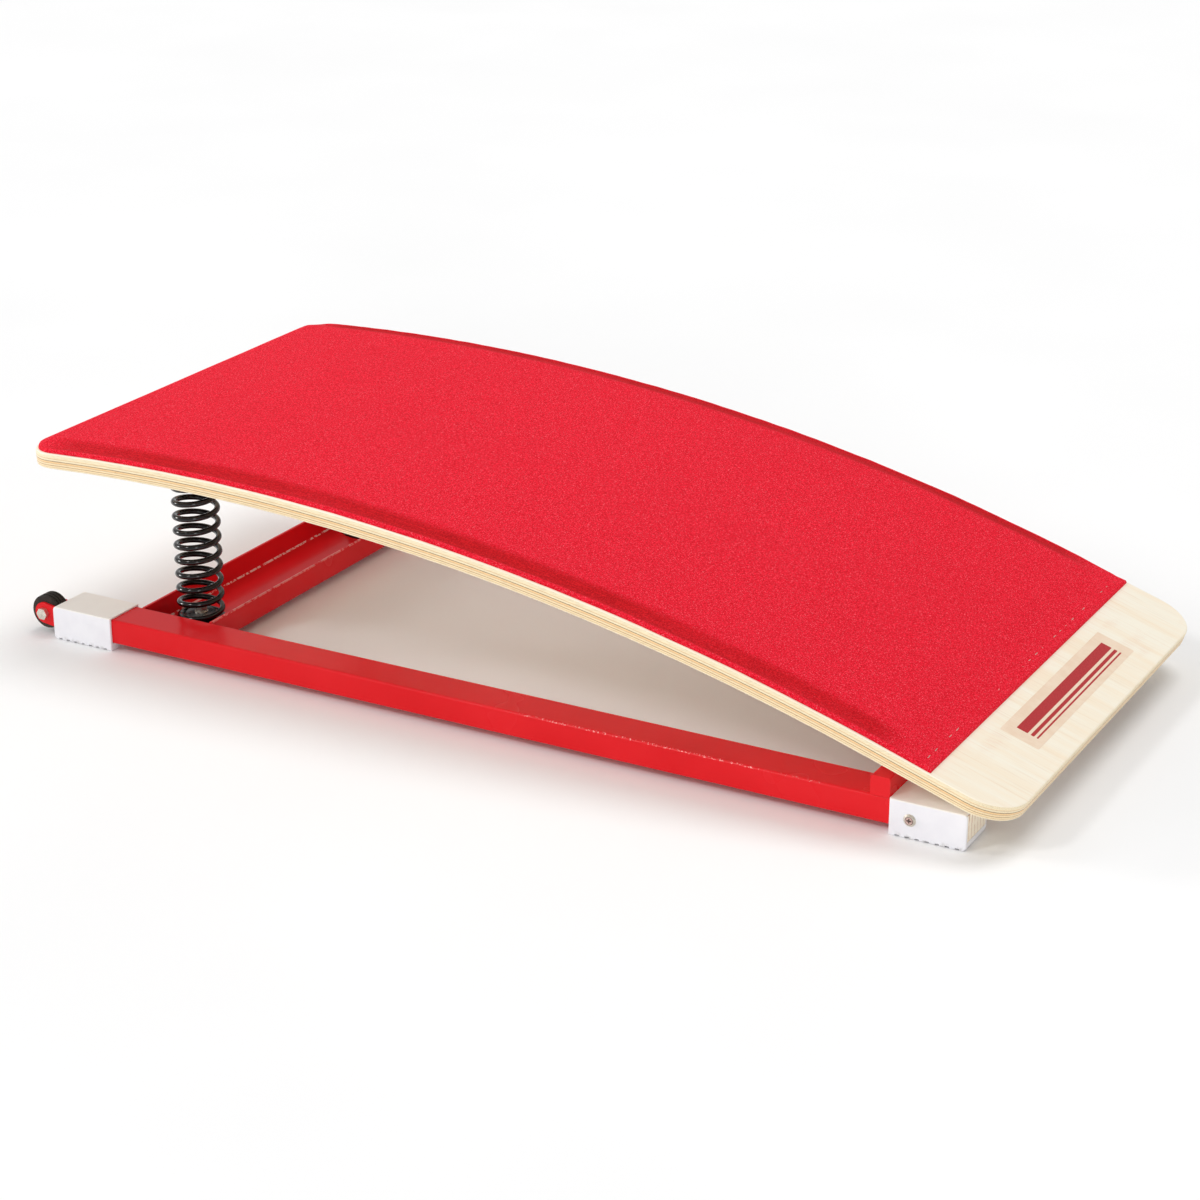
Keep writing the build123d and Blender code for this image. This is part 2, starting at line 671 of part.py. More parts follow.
def save(pieces):
    """Writes every piece, moved so that the origin is under the middle of the whole board."""
    boxes = [piece.bounding_box() for piece in pieces.values()]
    middle_x = (min(box.min.X for box in boxes) + max(box.max.X for box in boxes)) / 2
    os.makedirs("parts", exist_ok=True)
    for name, piece in pieces.items():
        export_step(Pos(-middle_x, 0, 0) * piece, f"parts/{name}.step")
    print("origin is at x", round(middle_x, 3))
    print("hinge axis at x, z", round(pivot.X - middle_x, 3), round(pivot.Z, 3))
    print("roller axes at x", round(roller_x - middle_x, 3))
    print("spring axes at x", round(spring_x - middle_x, 3))


save(parts)
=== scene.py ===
import math
import random

import bpy
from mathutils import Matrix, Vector, noise
from mathutils.bvhtree import BVHTree


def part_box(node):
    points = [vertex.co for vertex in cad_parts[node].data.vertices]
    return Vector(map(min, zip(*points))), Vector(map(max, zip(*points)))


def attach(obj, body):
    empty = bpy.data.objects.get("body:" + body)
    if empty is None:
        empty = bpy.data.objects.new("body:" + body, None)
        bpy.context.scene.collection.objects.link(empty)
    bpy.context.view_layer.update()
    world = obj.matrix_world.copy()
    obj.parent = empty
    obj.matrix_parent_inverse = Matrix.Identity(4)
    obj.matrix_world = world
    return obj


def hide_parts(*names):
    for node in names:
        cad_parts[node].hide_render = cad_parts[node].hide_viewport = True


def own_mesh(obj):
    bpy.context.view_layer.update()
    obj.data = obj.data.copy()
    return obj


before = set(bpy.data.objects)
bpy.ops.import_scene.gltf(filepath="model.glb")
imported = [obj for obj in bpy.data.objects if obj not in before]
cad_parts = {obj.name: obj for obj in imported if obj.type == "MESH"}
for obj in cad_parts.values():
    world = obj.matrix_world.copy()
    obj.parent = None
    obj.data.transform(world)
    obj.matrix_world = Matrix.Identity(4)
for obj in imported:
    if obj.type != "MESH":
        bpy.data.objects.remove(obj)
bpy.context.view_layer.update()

# The looks of a gymnastics springboard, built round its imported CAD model. Metres; X runs to the
# low nose, Y across (left is -Y), Z up from the floor.

MM = 0.001
LEFT, RIGHT = -1, 1
SIDES = (("left", LEFT), ("right", RIGHT))
CHANNEL_WALL = 3.0 * MM


# ---- Camera -------------------------------------------------------------------------------------

def make_camera():
    data = bpy.data.cameras.new("camera")
    data.lens = 84.3
    data.sensor_width = 36.0
    camera = bpy.data.objects.new("camera", data)
    camera.location = (1.4762, -2.6810, 1.2907)
    camera.rotation_euler = (math.radians(68.15), 0, math.radians(28.86))
    bpy.context.scene.collection.objects.link(camera)
    bpy.context.scene.camera = camera


make_camera()


# ---- Mesh helpers -------------------------------------------------------------------------------

def add_piece(name, points, faces, body, slot, material, smooth=True):
    """A mesh piece that rides on a CAD body. The slot argument is not used."""
    mesh = bpy.data.meshes.new(name)
    mesh.from_pydata([tuple(p) for p in points], [], faces)
    mesh.validate()
    mesh.update()
    if smooth:
        mesh.shade_smooth()
    mesh.materials.append(material)
    piece = bpy.data.objects.new(name, mesh)
    bpy.context.scene.collection.objects.link(piece)
    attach(piece, body)
    return piece


def strip_faces(rings, size, closed=True):
    """Quads between neighbouring rings of that many points."""
    faces = []
    last = size if closed else size - 1
    for i in range(rings - 1):
        for j in range(last):
            k = (j + 1) % size
            faces.append((i * size + j, i * size + k, (i + 1) * size + k, (i + 1) * size + j))
    return faces


def tube(path, radius, sides):
    """Points and faces of a round wire along a path, with rounded ends. radius is the wire's radius."""
    frames = []
    normal = None
    for i, point in enumerate(path):
        before, after = path[max(i - 1, 0)], path[min(i + 1, len(path) - 1)]
        tangent = (after - before).normalized()
        if normal is None:
            normal = tangent.orthogonal().normalized()
        normal = (normal - tangent * normal.dot(tangent)).normalized()
        frames.append((point, tangent, normal, tangent.cross(normal)))
    rings = [(frames[0], -0.75, 0.66), (frames[0], -0.35, 0.93)]
    rings += [(f, 0.0, 1.0) for f in frames]
    rings += [(frames[-1], 0.35, 0.93), (frames[-1], 0.75, 0.66)]
    points = []
    for (centre, tangent, normal, other), ahead, width in rings:
        for j in range(sides):
            turn = 2 * math.pi * j / sides
            out = normal * math.cos(turn) + other * math.sin(turn)
            points.append(centre + tangent * ahead * radius + out * radius * width)
    faces = strip_faces(len(rings), sides)
    faces.append(tuple(reversed(range(sides))))
    faces.append(tuple(range(len(points) - sides, len(points))))
    return points, faces


def join(shapes):
    """Several (points, faces) as one."""
    points, faces = [], []
    for more_points, more_faces in shapes:
        start = len(points)
        points += more_points
        faces += [tuple(start + i for i in face) for face in more_faces]
    return points, faces


def ease(value):
    """Smooth step from 0 to 1."""
    t = min(max(value, 0.0), 1.0)
    return t * t * (3 - 2 * t)


# ---- The deck's side view -----------------------------------------------------------------------

def circle_through(a, b, c):
    """Centre (x, z) and radius of the circle through three (x, z) points."""
    (ax, az), (bx, bz), (cx, cz) = a, b, c
    d = 2 * (ax * (bz - cz) + bx * (cz - az) + cx * (az - bz))
    aa, bb, cc = ax * ax + az * az, bx * bx + bz * bz, cx * cx + cz * cz
    x = (aa * (bz - cz) + bb * (cz - az) + cc * (az - bz)) / d
    z = (aa * (cx - bx) + bb * (ax - cx) + cc * (bx - ax)) / d
    return x, z, math.hypot(ax - x, az - z)


class DeckTop:
    """The board's top in side view, read from the CAD board: a round stretch, then a straight nose."""

    def __init__(self):
        self.low, self.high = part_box("deck_board")
        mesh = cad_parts["deck_board"].data
        faces = [tuple(p.vertices) for p in mesh.polygons]
        tree = BVHTree.FromPolygons([v.co for v in mesh.vertices], faces)

        def height(x):
            hit = tree.ray_cast(Vector((x, 0, 1)), Vector((0, 0, -1)))
            return hit[0].z

        stations = [self.low.x + 0.02, self.low.x + 0.52, self.high.x - 0.20]
        self.centre_x, self.centre_z, self.radius = circle_through(*((x, height(x)) for x in stations))
        tip, back = self.high.x - 0.015, self.high.x - 0.110
        self.slope = math.atan2(height(back) - height(tip), tip - back)
        self.straight_x = self.centre_x + self.radius * math.sin(self.slope)
        self.nose = Vector((tip, 0, height(tip)))
        self.thickness = self.low_side(tree)

    def low_side(self, tree):
        """The board's thickness, measured along the normal at its straight stretch."""
        normal = self.normal(self.nose.x)
        under = tree.ray_cast(self.nose - normal * 0.1, normal)
        return (self.nose - under[0]).length

    def tilt(self, x):
        if x >= self.straight_x:
            return self.slope
        return math.asin((x - self.centre_x) / self.radius)

    def normal(self, x):
        tilt = self.tilt(x)
        return Vector((math.sin(tilt), 0, math.cos(tilt)))

    def along(self, x):
        """The direction down the deck towards its nose."""
        tilt = self.tilt(x)
        return Vector((math.cos(tilt), 0, -math.sin(tilt)))

    def place(self, x, y, offset):
        """A point that far above the board's top."""
        if x >= self.straight_x:
            z = self.nose.z + (self.nose.x - x) * math.tan(self.slope)
        else:
            z = self.centre_z + self.radius * math.cos(self.tilt(x))
        return Vector((x, y, z)) + self.normal(x) * offset

    def length(self, start, end):
        """Length of the top between two stations."""
        bend = min(end, self.straight_x)
        round_part = self.radius * (self.tilt(bend) - self.tilt(start))
        return round_part + max(0.0, end - bend) / math.cos(self.slope)


deck = DeckTop()


# ---- Material helpers ---------------------------------------------------------------------------

def srgb(red, green, blue):
    """A colour given in sRGB from 0 to 255, as linear RGBA."""
    def linear(value):
        v = value / 255
        return v / 12.92 if v <= 0.04045 else ((v + 0.055) / 1.055) ** 2.4
    return (linear(red), linear(green), linear(blue), 1.0)


class Nodes:
    """A material's node tree with short calls for the nodes used here."""

    def __init__(self, name, **sockets):
        self.material = bpy.data.materials.new(name)
        self.material.use_nodes = True
        self.tree = self.material.node_tree
        self.shader = self.tree.nodes["Principled BSDF"]
        for socket, value in sockets.items():
            self.shader.inputs[socket.replace("_", " ")].default_value = value
        self.place = self.add("ShaderNodeTexCoord").outputs["Object"]

    def add(self, kind):
        return self.tree.nodes.new(kind)

    def wire(self, value, socket):
        """Links an output, or sets a plain value."""
        if hasattr(value, "is_linked"):
            self.tree.links.new(value, socket)
        elif value is not None:
            socket.default_value = value

    def stretched(self, scale):
        """The row-frame place times a scale along each axis."""
        node = self.add("ShaderNodeMapping")
        node.inputs["Scale"].default_value = scale
        self.wire(self.place, node.inputs["Vector"])
        return node.outputs["Vector"]

    def noise(self, scale, detail=3.0, rough=0.55, vector=None):
        node = self.add("ShaderNodeTexNoise")
        node.inputs["Scale"].default_value = scale
        node.inputs["Detail"].default_value = detail
        node.inputs["Roughness"].default_value = rough
        self.wire(vector or self.place, node.inputs["Vector"])
        return node.outputs["Fac"]

    def cells(self, scale, vector=None):
        """Distance to the nearest of scattered points."""
        node = self.add("ShaderNodeTexVoronoi")
        node.inputs["Scale"].default_value = scale
        self.wire(vector or self.place, node.inputs["Vector"])
        return node.outputs["Distance"]

    def math(self, operation, a, b=None):
        node = self.add("ShaderNodeMath")
        node.operation = operation
        for value, socket in zip((a, b), node.inputs):
            self.wire(value, socket)
        return node.outputs[0]

    def gap(self, value, edge):
        """Distance along one axis between a value and a place."""
        return self.math("ABSOLUTE", self.math("SUBTRACT", value, edge))

    def hypot(self, a, b):
        return self.math("SQRT", self.math("ADD", self.math("MULTIPLY", a, a), self.math("MULTIPLY", b, b)))

    def range(self, value, low, high, to_low=0.0, to_high=1.0):
        """Maps low..high to to_low..to_high, clamped."""
        node = self.add("ShaderNodeMapRange")
        node.interpolation_type = "SMOOTHSTEP"
        ends = {"From Min": low, "From Max": high, "To Min": to_low, "To Max": to_high}
        for key, number in ends.items():
            node.inputs[key].default_value = number
        self.wire(value, node.inputs["Value"])
        return node.outputs["Result"]

    def mix(self, factor, a, b):
        node = self.add("ShaderNodeMix")
        node.data_type = "RGBA"
        self.wire(factor, node.inputs[0])
        self.wire(a, node.inputs[6])
        self.wire(b, node.inputs[7])
        return node.outputs[2]

    def ramp(self, value, stops):
        """A colour ramp of (position, colour) stops."""
        node = self.add("ShaderNodeValToRGB")
        elements = node.color_ramp.elements
        while len(elements) < len(stops):
            elements.new(1.0)
        for element, (position, colour) in zip(elements, stops):
            element.position = position
            element.color = colour
        self.wire(value, node.inputs["Fac"])
        return node.outputs["Color"]

    def axes(self, vector=None):
        node = self.add("ShaderNodeSeparateXYZ")
        self.wire(vector or self.place, node.inputs[0])
        return node.outputs

    def attribute(self, name):
        node = self.add("ShaderNodeAttribute")
        node.attribute_name = name
        return node.outputs["Fac"]

    def bump(self, height, strength, distance, before=None):
        node = self.add("ShaderNodeBump")
        node.inputs["Strength"].default_value = strength
        node.inputs["Distance"].default_value = distance
        self.wire(height, node.inputs["Height"])
        self.wire(before, node.inputs["Normal"])
        return node.outputs["Normal"]

    def finish(self, colour=None, roughness=None, normal=None):
        self.wire(colour, self.shader.inputs["Base Color"])
        self.wire(roughness, self.shader.inputs["Roughness"])
        self.wire(normal, self.shader.inputs["Normal"])
        return self.material


# ---- Materials ----------------------------------------------------------------------------------

def plywood():
    """Varnished birch plywood. The plies follow the deck's curve and show wherever an edge cuts them."""
    n = Nodes("plywood_birch", Coat_Weight=0.25, Coat_Roughness=0.25, Specular_IOR_Level=0.4)
    x, _, z = n.axes()
    reach = n.hypot(n.math("SUBTRACT", x, deck.centre_x), n.math("SUBTRACT", z, deck.centre_z))
    round_depth = n.math("SUBTRACT", deck.radius, reach)
    lean, rise = math.sin(deck.slope), math.cos(deck.slope)
    level = deck.nose.x * lean + deck.nose.z * rise
    flat_reach = n.math("ADD", n.math("MULTIPLY", x, lean), n.math("MULTIPLY", z, rise))
    flat_depth = n.math("SUBTRACT", level, flat_reach)
    in_nose = n.math("GREATER_THAN", x, deck.straight_x)
    change = n.math("MULTIPLY", in_nose, n.math("SUBTRACT", flat_depth, round_depth))
    depth = n.math("ADD", round_depth, change)

    waver = n.noise(6.0, 3.0, vector=n.stretched((1, 1, 0.2)))
    share = n.math("DIVIDE", n.math("ADD", depth, n.math("MULTIPLY", waver, 1.1 * MM)), deck.thickness)
    pale, warm, tan = srgb(255, 239, 202), srgb(255, 222, 168), srgb(250, 206, 148)
    glue, thin_glue = srgb(128, 86, 52), srgb(180, 132, 84)
    plies = n.ramp(share, [
        (0.000, pale), (0.240, pale), (0.300, warm), (0.312, thin_glue), (0.326, pale), (0.440, pale),
        (0.452, glue), (0.478, glue), (0.490, warm), (0.600, tan), (0.612, thin_glue), (0.630, pale),
        (0.735, warm), (0.747, glue), (0.762, thin_glue), (0.775, pale), (0.868, warm),
        (0.880, thin_glue), (0.896, pale), (1.000, pale),
    ])
    fibres = n.noise(1.0, 4.0, vector=n.stretched((90, 1500, 1500)))
    pores = n.noise(1.0, 2.0, vector=n.stretched((1400, 1400, 700)))
    edge = n.mix(n.range(fibres, 0.35, 0.75), plies, n.mix(0.25, plies, glue))
    edge = n.mix(n.range(pores, 0.62, 0.74, 0.0, 0.35), edge, srgb(178, 130, 78))
    knots = n.cells(26.0, vector=n.stretched((1, 1, 3)))
    edge = n.mix(n.range(knots, 0.06, 0.02, 0.0, 0.45), edge, srgb(150, 100, 60))

    veneer_pale, veneer_warm = srgb(255, 247, 228), srgb(253, 236, 209)
    bands = n.noise(1.0, 5.0, 0.6, vector=n.stretched((3.0, 38, 3.0)))
    veneer = n.mix(n.range(bands, 0.35, 0.70), veneer_pale, veneer_warm)
    streaks = n.noise(1.0, 3.0, vector=n.stretched((14, 420, 14)))
    veneer = n.mix(n.range(streaks, 0.50, 0.80, 0.0, 0.40), veneer, srgb(232, 202, 168))
    flame = n.noise(1.0, 2.0, vector=n.stretched((24, 7, 24)))
    ticks = n.noise(1.0, 2.0, vector=n.stretched((34, 700, 34)))
    figure = n.math("MULTIPLY", n.range(flame, 0.58, 0.70), n.range(ticks, 0.42, 0.62))
    veneer = n.mix(n.math("MULTIPLY", figure, 0.5), veneer, srgb(243, 208, 180))

    veneer_depth, fade = 0.5 * MM, 0.4 * MM
    top_face = n.range(depth, veneer_depth + fade, veneer_depth)
    underside = deck.thickness - veneer_depth
    low_face = n.range(depth, underside - fade, underside)
    is_face = n.math("MAXIMUM", top_face, low_face)
    colour = n.mix(is_face, edge, veneer)
    height = n.math("ADD", n.math("MULTIPLY", fibres, 0.5), n.math("MULTIPLY", streaks, 0.5))
    normal = n.bump(height, 0.25, 0.4 * MM)
    roughness = n.range(bands, 0.2, 0.8, 0.42, 0.56)
    return n.finish(colour, roughness, normal)


def carpet():
    """Short dense pile, ribbed and a little darker where it is stretched down at the long sides; the darker
    tone there is partly painted shade, for the pile seen more head-on on that slope.
    """
    n = Nodes("carpet_pile", Specular_IOR_Level=0.1, Sheen_Weight=0.05, Sheen_Roughness=0.45)
    n.shader.inputs["Sheen Tint"].default_value = srgb(255, 150, 160)
    # Marks the band at the long sides: there the pile is opened and ribbed, and darkened further with
    # painted shade.
    stretch_and_shade = n.attribute("stretch_and_shade")
    tufts = n.noise(560.0, 3.0, 0.8)
    specks = n.noise(900.0, 1.0, 0.5)
    clouds = n.noise(5.0, 3.0)
    base = n.mix(n.range(tufts, 0.38, 0.62), srgb(212, 4, 26), srgb(255, 40, 64))
    base = n.mix(n.range(clouds, 0.3, 0.7, 0.0, 0.15), base, srgb(222, 26, 46))
    base = n.mix(n.range(specks, 0.62, 0.70, 0.0, 0.75), base, srgb(255, 122, 136))
    base = n.mix(n.range(specks, 0.36, 0.28, 0.0, 0.6), base, srgb(160, 4, 18))
    # Colour of that band: the opened pile's darker tone plus painted shade.
    stretched_shaded = n.mix(n.range(tufts, 0.38, 0.62), srgb(178, 10, 20), srgb(222, 30, 38))
    rib_pitch = 2.1 * MM
    waver = n.math("MULTIPLY", n.noise(24.0, 2.0), 3.2)
    phase = n.math("MULTIPLY", n.axes()[1], 2 * math.pi / rib_pitch)
    ribs = n.math("SINE", n.math("ADD", phase, waver))
    broken = n.noise(1.0, 2.0, vector=n.stretched((60, 500, 60)))
    rib_shade = n.math("MULTIPLY", n.range(ribs, -0.2, 0.9), n.range(broken, 0.38, 0.60))
    stretched_shaded = n.mix(n.math("MULTIPLY", rib_shade, 0.5), stretched_shaded, srgb(124, 6, 16))
    colour = n.mix(stretch_and_shade, base, stretched_shaded)
    pile = n.math("ADD", n.math("MULTIPLY", tufts, 0.7), n.math("MULTIPLY", specks, 0.3))
    normal = n.bump(pile, 0.75, 1.1 * MM)
    groove = n.math("MULTIPLY", rib_shade, stretch_and_shade)
    normal = n.bump(n.math("SUBTRACT", 1.0, groove), 0.35, 0.5 * MM, normal)
    return n.finish(colour, 0.92, normal)


def foam():
    n = Nodes("foam_cell", Roughness=0.9)
    cells = n.cells(700.0)
    colour = n.mix(n.range(cells, 0.1, 0.6), srgb(58, 58, 62), srgb(84, 84, 88))
    return n.finish(colour, None, n.bump(cells, 0.5, 0.5 * MM))


def red_paint():
    """Glossy paint on welded steel with faint orange peel; pale painted glints along the outer edges at the
    front, and painted highlight lines along the far corner and near rim of the channel."""
    n = Nodes("red_enamel", Coat_Weight=0.1, Coat_Roughness=0.08, Specular_IOR_Level=0.12)
    clouds = n.noise(7.0, 2.0)
    colour = n.mix(n.range(clouds, 0.3, 0.7), srgb(224, 24, 32), srgb(232, 30, 38))
    x, y, z = n.axes()
    across = n.math("ABSOLUTE", y)

    # Pale specks along the outer top edges of the rails and cross bar at the front: painted glints.
    inset = 0.8 * MM
    rail_low, rail_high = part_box("side_rail_left")
    bar_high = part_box("front_cross_bar")[1]
    rail_edge = n.math("MAXIMUM", n.gap(z, rail_high.z - inset), n.gap(across, -rail_low.y - inset))
    bar_edge = n.math("MAXIMUM", n.gap(z, bar_high.z - inset), n.gap(x, bar_high.x - inset))
    on_edge = n.range(n.math("MINIMUM", rail_edge, bar_edge), 1.5 * MM, 0.7 * MM)
    glint_specks = n.range(n.noise(420.0, 2.0, 0.6), 0.58, 0.63)
    glint_patches = n.range(n.noise(9.0, 2.0, 0.5, n.stretched((1, 1, 0.1))), 0.42, 0.54)
    front = n.range(x, -0.10, 0.25)
    edge_glints = n.math("MULTIPLY", n.math("MULTIPLY", on_edge, glint_specks), n.math("MULTIPLY", glint_patches, front))

    # Pale broken lines at the channel's far inner corner and along its near rim: painted highlights.
    channel_low, channel_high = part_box("rear_channel")
    corner = CHANNEL_WALL + 0.6 * MM
    to_corner = n.math("MAXIMUM", n.gap(z, channel_low.z + corner), n.gap(x, channel_low.x + corner))
    to_rim = n.math("MAXIMUM", n.gap(z, channel_high.z - 0.6 * MM), n.gap(x, channel_high.x - 1.0 * MM))
    corner_highlight = n.range(to_corner, 1.6 * MM, 0.8 * MM)
    rim_highlight = n.range(to_rim, 1.4 * MM, 0.8 * MM, 0.0, 0.4)
    between = n.range(across, channel_high.y, channel_high.y - 2 * MM)
    highlight_breakup = n.math("MULTIPLY", n.range(n.noise(160.0, 3.0, 0.6), 0.42, 0.52), between)
    lines = n.math("MULTIPLY", n.math("ADD", corner_highlight, rim_highlight), highlight_breakup)
    # The painted glints and highlight lines, mixed in pale pinkish white over the paint.
    painted_highlights = n.math("MULTIPLY", n.math("MAXIMUM", edge_glints, lines), 0.9)
    colour = n.mix(painted_highlights, colour, srgb(255, 214, 208))
    peel = n.noise(380.0, 2.0, 0.4)
    return n.finish(colour, n.range(clouds, 0.3, 0.7, 0.20, 0.28), n.bump(peel, 0.14, 0.3 * MM))


def black_enamel():
    n = Nodes("black_enamel", Specular_IOR_Level=0.3, Coat_Weight=0.3, Coat_Roughness=0.05)
    dips = n.noise(90.0, 2.0)
    colour = n.mix(n.range(dips, 0.35, 0.7), srgb(5, 3, 3), srgb(14, 9, 9))
    return n.finish(colour, n.range(dips, 0.3, 0.7, 0.08, 0.16), n.bump(dips, 0.12, 0.5 * MM))


def black_satin():
    n = Nodes("black_satin", Specular_IOR_Level=0.5, Coat_Weight=0.5, Coat_Roughness=0.12)
    dips = n.noise(240.0, 3.0)
    colour = n.mix(n.range(dips, 0.35, 0.7), srgb(16, 11, 11), srgb(32, 24, 23))
    return n.finish(colour, n.range(dips, 0.3, 0.7, 0.26, 0.40), n.bump(dips, 0.25, 0.4 * MM))


def zinc():
    n = Nodes("zinc_plate", Metallic=0.9)
    bloom = n.noise(150.0, 4.0, 0.6)
    tint = n.noise(30.0, 2.0)
    colour = n.mix(n.range(bloom, 0.3, 0.7), srgb(232, 226, 214), srgb(196, 190, 178))
    colour = n.mix(n.range(tint, 0.45, 0.7, 0.0, 0.35), colour, srgb(226, 216, 194))
    return n.finish(colour, n.range(bloom, 0.3, 0.7, 0.22, 0.40), n.bump(bloom, 0.15, 0.3 * MM))


def screw_painted_recess_shade():
    """A plated screw: dull head, with painted shade in its cross recess and in the gap round it."""
    n = Nodes("screw_painted_recess_shade", Metallic=0.6)
    low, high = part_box("foot_screws")
    x, _, z = n.axes()
    dx, dz = n.gap(x, (low.x + high.x) / 2), n.gap(z, (low.z + high.z) / 2)
    reach = n.hypot(dx, dz)
    bloom = n.noise(240.0, 3.0)
    colour = n.mix(n.range(bloom, 0.3, 0.7), srgb(224, 196, 188), srgb(196, 164, 156))
    # Dark cross recess and dark ring round the head: painted shade.
    cross = n.range(n.math("MINIMUM", dx, dz), 0.95 * MM, 0.55 * MM)
    recess_shade = n.math("MULTIPLY", cross, n.range(reach, 3.0 * MM, 2.4 * MM))
    painted_shade = n.math("MAXIMUM", recess_shade, n.range(reach, 3.7 * MM, 4.2 * MM))
    colour = n.mix(n.math("MULTIPLY", painted_shade, 0.85), colour, srgb(52, 34, 32))
    return n.finish(colour, n.range(bloom, 0.3, 0.7, 0.35, 0.5), n.bump(bloom, 0.2, 0.2 * MM))


def white_rubber():
    """Non-marking rubber with a dusty sole; the creamy top is painted warm light from above."""
    n = Nodes("white_rubber", Specular_IOR_Level=0.4)
    z = n.axes()[2]
    mottle = n.noise(45.0, 4.0)
    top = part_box("foot_sleeve_front_left")[1].z
    colour = n.mix(n.range(mottle, 0.3, 0.7), srgb(246, 245, 249), srgb(241, 240, 245))
    # Creamy band at the top of the sleeve: painted warm light from above.
    colour = n.mix(n.range(z, top - 2.0 * MM, top - 0.5 * MM, 0.0, 0.6), colour, srgb(254, 247, 234))
    dust = n.math("MULTIPLY", n.range(z, 7.0 * MM, 0.0), n.range(n.noise(110.0, 4.0), 0.45, 0.7))
    colour = n.mix(n.math("MULTIPLY", dust, 0.55), colour, srgb(150, 140, 132))
    marks = n.range(n.noise(1.0, 3.0, 0.6, n.stretched((30, 30, 300))), 0.68, 0.75, 0.0, 0.12)
    colour = n.mix(marks, colour, srgb(196, 188, 182))
    grain = n.noise(900.0, 2.0)
    return n.finish(colour, n.range(mottle, 0.3, 0.7, 0.46, 0.60), n.bump(grain, 0.18, 0.3 * MM))


def roller_rubber():
    n = Nodes("roller_rubber", Specular_IOR_Level=0.3)
    grit = n.noise(520.0, 4.0, 0.65)
    wear = n.noise(70.0, 3.0)
    colour = n.mix(n.range(wear, 0.35, 0.7), srgb(38, 31, 27), srgb(66, 56, 49))
    colour = n.mix(n.range(grit, 0.60, 0.72, 0.0, 0.4), colour, srgb(104, 92, 84))
    return n.finish(colour, n.range(wear, 0.3, 0.7, 0.62, 0.80), n.bump(grit, 0.5, 0.6 * MM))


def nylon():
    n = Nodes("nylon", Specular_IOR_Level=0.45)
    mottle = n.noise(180.0, 3.0)
    colour = n.mix(n.range(mottle, 0.3, 0.7), srgb(226, 220, 204), srgb(210, 202, 184))
    return n.finish(colour, n.range(mottle, 0.3, 0.7, 0.38, 0.5), n.bump(mottle, 0.1, 0.3 * MM))


def end_grain():
    """Block cut from plywood set on edge: upright plies, pale with thin brown glue lines."""
    n = Nodes("plug_plies", Specular_IOR_Level=0.25)
    _, y, z = n.axes()
    ply_pitch = 8.2 * MM
    waver = n.math("MULTIPLY", n.noise(28.0, 2.0), 0.5)
    plies = n.math("FRACT", n.math("ADD", n.math("DIVIDE", y, ply_pitch), waver))
    line = n.range(n.gap(plies, 0.5), 0.13, 0.05)
    low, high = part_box("wood_plug_left")
    worn_off = n.range(n.noise(70.0, 3.0), 0.38, 0.58, 0.25, 1.0)
    # The glue lines are the plies' own, but they grow stronger towards the top of the plug: painted shade
    # from the deck above.
    patchy = n.math("MULTIPLY", worn_off, n.range(z, low.z, high.z, 0.35, 1.0))
    pores = n.noise(1.0, 3.0, vector=n.stretched((120, 1500, 260)))
    colour = n.mix(n.range(pores, 0.40, 0.70), srgb(255, 248, 232), srgb(250, 230, 204))
    colour = n.mix(n.math("MULTIPLY", line, patchy), colour, srgb(178, 118, 84))
    return n.finish(colour, 0.7, n.bump(n.math("SUBTRACT", pores, line), 0.3, 0.3 * MM))


def label_film():
    n = Nodes("label_film", Coat_Weight=0.3, Coat_Roughness=0.2, Specular_IOR_Level=0.4)
    bubbles = n.noise(60.0, 3.0)
    streaks = n.noise(1.0, 3.0, vector=n.stretched((14, 420, 14)))
    colour = n.mix(n.range(bubbles, 0.3, 0.7), srgb(249, 226, 200), srgb(243, 216, 188))
    colour = n.mix(n.range(streaks, 0.50, 0.80, 0.0, 0.35), colour, srgb(234, 200, 168))
    return n.finish(colour, n.range(bubbles, 0.3, 0.7, 0.30, 0.42), n.bump(bubbles, 0.1, 0.3 * MM))


def label_ink():
    n = Nodes("label_ink", Specular_IOR_Level=0.4)
    screen = n.noise(700.0, 3.0)
    colour = n.mix(n.range(screen, 0.3, 0.75), srgb(190, 26, 32), srgb(170, 22, 28))
    return n.finish(colour, n.range(screen, 0.3, 0.7, 0.34, 0.48), n.bump(screen, 0.1, 0.1 * MM))


def floor_paint():
    n = Nodes("studio_floor", Specular_IOR_Level=0.2)
    clouds = n.noise(1.5, 2.0)
    colour = n.mix(n.range(clouds, 0.3, 0.7), (0.95, 0.95, 0.95, 1), (0.97, 0.97, 0.97, 1))
    return n.finish(colour, 0.8)


finishes = {
    "plywood": plywood(),
    "plug_wood": end_grain(),
    "foam": foam(),
    "carpet": carpet(),
    "red_paint": red_paint(),
    "spring_black": black_enamel(),
    "seat_black": black_satin(),
    "zinc": zinc(),
    "white_rubber": white_rubber(),
    "roller_rubber": roller_rubber(),
    "bush_nylon": nylon(),
}

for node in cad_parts.values():
    for used in node.material_slots:
        used.material = finishes[used.material.name.split(".")[0]]
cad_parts["foot_screws"].material_slots[0].material = screw_painted_recess_shade()


# ---- Padding: carpet over foam ------------------------------------------------------------------

CARPET_THICK = 3.0 * MM
FOAM_INSET = 9 * MM
STAPLE_INSET = 12 * MM        # from the front edge of the carpet, and from its long borders
STAPLE_COUNT = 30
REAR_CORNER = 40 * MM
BORDER = 4.0 * MM             # height of the carpet's cut border above the wood
ROLL = 3.2 * MM               # rounding of that border
HEM = 26 * MM                 # flat stapled strip at the front
FRONT_RISE = 34 * MM
SIDE_FLAT = 8 * MM            # carpet pulled down flat beside its long borders
SIDE_RISE = 28 * MM
REAR_RISE = 17 * MM

